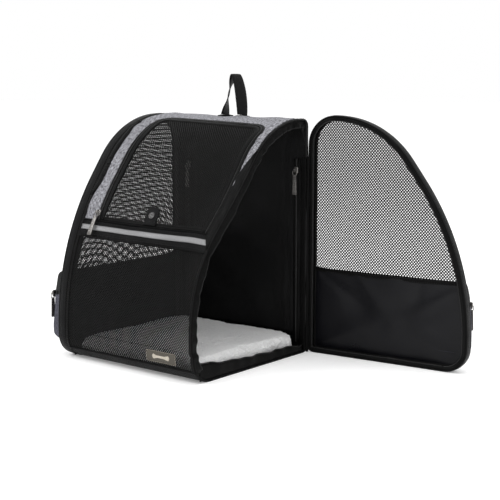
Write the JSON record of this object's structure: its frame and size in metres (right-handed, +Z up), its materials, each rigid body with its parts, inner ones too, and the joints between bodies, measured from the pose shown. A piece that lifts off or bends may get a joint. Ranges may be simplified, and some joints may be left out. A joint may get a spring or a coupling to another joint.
{
  "type": "pet carrier backpack",
  "caption": "Upright fabric pet carrier with a curved net front, a zipped net window, a hinged net door on each side, a fleece floor pad, a grab handle and back straps.",
  "frame": {"origin": "centre of the base, on the surface that the bag stands on", "axes": "+Z up, -Y towards the curved front, +Y towards the flat back, +X towards the open side door"},
  "size_m": [0.6495, 0.3812, 0.4938],
  "materials": {
    "black_nylon": "soft semi-gloss coated nylon",
    "heather_cloth": "matt grey heather polyester",
    "net": "black open polyester netting",
    "zip_tape": "ribbed black zip tape",
    "binding": "black bound edge, soft sheen",
    "reflective_tape": "grey reflective tape",
    "label": "woven patch",
    "board": "stiffening board",
    "fleece": "white curly fleece",
    "gunmetal": "dark plated zinc",
    "webbing": "ribbed black webbing",
    "air_mesh": "black spacer mesh over foam",
    "buckle_plastic": "black moulded plastic",
    "spring_steel": "flat sprung wire",
    "snap_metal": "dark plated snap cap"
  },
  "bodies": {
    "bag": {"base_panel": "black_nylon", "back_panel": "black_nylon", "lower_front_net": "net", "front_band": "black_nylon", "top_panel": "heather_cloth", "side_strip_left": "heather_cloth", "side_strip_right": "heather_cloth", "rim_binding_left": "binding", "rim_binding_right": "binding", "reflective_strip": "reflective_tape", "label_patch": "label", "window_zip": "zip_tape", "rim_zip_left": "zip_tape", "rim_zip_right": "zip_tape", "hinge_zip_left": "zip_tape", "hinge_zip_right": "zip_tape", "corner_web_left": "black_nylon", "corner_web_right": "black_nylon", "base_board": "board", "fleece_pad": "fleece", "window_slider": "gunmetal", "handle_anchors": "webbing", "back_pad": "air_mesh", "shoulder_strap_left": "air_mesh", "shoulder_strap_right": "air_mesh", "ladder_lock_left": "buckle_plastic", "ladder_lock_right": "buckle_plastic", "strap_webbing_left": "webbing", "strap_webbing_right": "webbing"},
    "window_flap": {"window_frame": "zip_tape", "window_net": "net"},
    "snap_tab": {"snap_tab": "black_nylon", "snap_cap": "snap_metal"},
    "window_pull": {"window_pull": "gunmetal"},
    "handle": {"handle": "webbing"},
    "door_left": {"gusset_left": "binding", "door_zip_left": "zip_tape", "door_border_left": "binding", "door_hoop_left": "spring_steel", "door_net_left": "net", "door_panel_left": "black_nylon", "pocket_left": "heather_cloth", "pocket_zip_left": "zip_tape"},
    "pocket_slider_left": {"pocket_slider_left": "gunmetal"},
    "pocket_pull_left": {"pocket_pull_left": "gunmetal"},
    "hinge_slider_left": {"hinge_slider_left": "gunmetal"},
    "hinge_pull_left": {"hinge_pull_left": "gunmetal"},
    "door_right": {"gusset_right": "binding", "door_zip_right": "zip_tape", "door_border_right": "binding", "door_hoop_right": "spring_steel", "door_net_right": "net", "door_panel_right": "black_nylon", "pocket_right": "heather_cloth", "pocket_zip_right": "zip_tape"},
    "pocket_slider_right": {"pocket_slider_right": "gunmetal"},
    "pocket_pull_right": {"pocket_pull_right": "gunmetal"},
    "hinge_slider_right": {"hinge_slider_right": "gunmetal"},
    "hinge_pull_right": {"hinge_pull_right": "gunmetal"}
  },
  "joints": [
    {"name": "door_right_hinge", "type": "hinge", "parent": "bag", "child": "door_right", "pos_m": [0.1492, 0.1515, 0], "axis": [0, 0, 1], "range_deg": [-95.4, 60]},
    {"name": "door_left_hinge", "type": "hinge", "parent": "bag", "child": "door_left", "pos_m": [-0.1492, 0.1515, 0], "axis": [0, 0, -1], "range_deg": [0, 150]},
    {"name": "window_hinge", "type": "hinge", "parent": "bag", "child": "window_flap", "pos_m": [-0.1, -0.10764, 0.24165], "axis": [0.9975, 0.0645, -0.0296], "range_deg": [0, 105]},
    {"name": "snap_tab_hinge", "type": "hinge", "parent": "window_flap", "child": "snap_tab", "pos_m": [0.005, -0.09979, 0.24213], "axis": [0.9973, 0.0624, -0.0376], "range_deg": [0, 45]},
    {"name": "handle_fold", "type": "hinge", "parent": "bag", "child": "handle", "pos_m": [0, 0.1395, 0.4194], "axis": [-1, 0, 0], "range_deg": [0, 95]},
    {"name": "window_pull_swing", "type": "hinge", "parent": "bag", "child": "window_pull", "pos_m": [-0.11317, -0.10691, 0.25656], "axis": [-0.9982, -0.0531, 0.0284], "range_deg": [0, 150]},
    {"name": "pocket_slider_left_travel", "type": "slide", "parent": "door_left", "child": "pocket_slider_left", "axis": [0, 1, 0], "range_m": [0, 0.275]},
    {"name": "pocket_pull_left_swing", "type": "hinge", "parent": "pocket_slider_left", "child": "pocket_pull_left", "pos_m": [-0.19625, -0.139, 0.109], "axis": [0, 1, 0], "range_deg": [0, 150]},
    {"name": "hinge_slider_left_travel", "type": "slide", "parent": "bag", "child": "hinge_slider_left", "axis": [0, 0, 1], "range_m": [-0.27, 0]},
    {"name": "hinge_pull_left_swing", "type": "hinge", "parent": "hinge_slider_left", "child": "hinge_pull_left", "pos_m": [-0.127, 0.14155, 0.325], "axis": [-1, 0, 0], "range_deg": [0, 150]},
    {"name": "pocket_slider_right_travel", "type": "slide", "parent": "door_right", "child": "pocket_slider_right", "axis": [-0.9956, -0.0941, 0], "range_m": [0, 0.275]},
    {"name": "pocket_pull_right_swing", "type": "hinge", "parent": "pocket_slider_right", "child": "pocket_pull_right", "pos_m": [0.43398, 0.22568, 0.109], "axis": [0.9956, 0.0941, 0], "range_deg": [0, 150]},
    {"name": "hinge_slider_right_travel", "type": "slide", "parent": "bag", "child": "hinge_slider_right", "axis": [0, 0, 1], "range_m": [-0.27, 0]},
    {"name": "hinge_pull_right_swing", "type": "hinge", "parent": "hinge_slider_right", "child": "hinge_pull_right", "pos_m": [0.127, 0.14155, 0.325], "axis": [-1, 0, 0], "range_deg": [0, 150]}
  ]
}
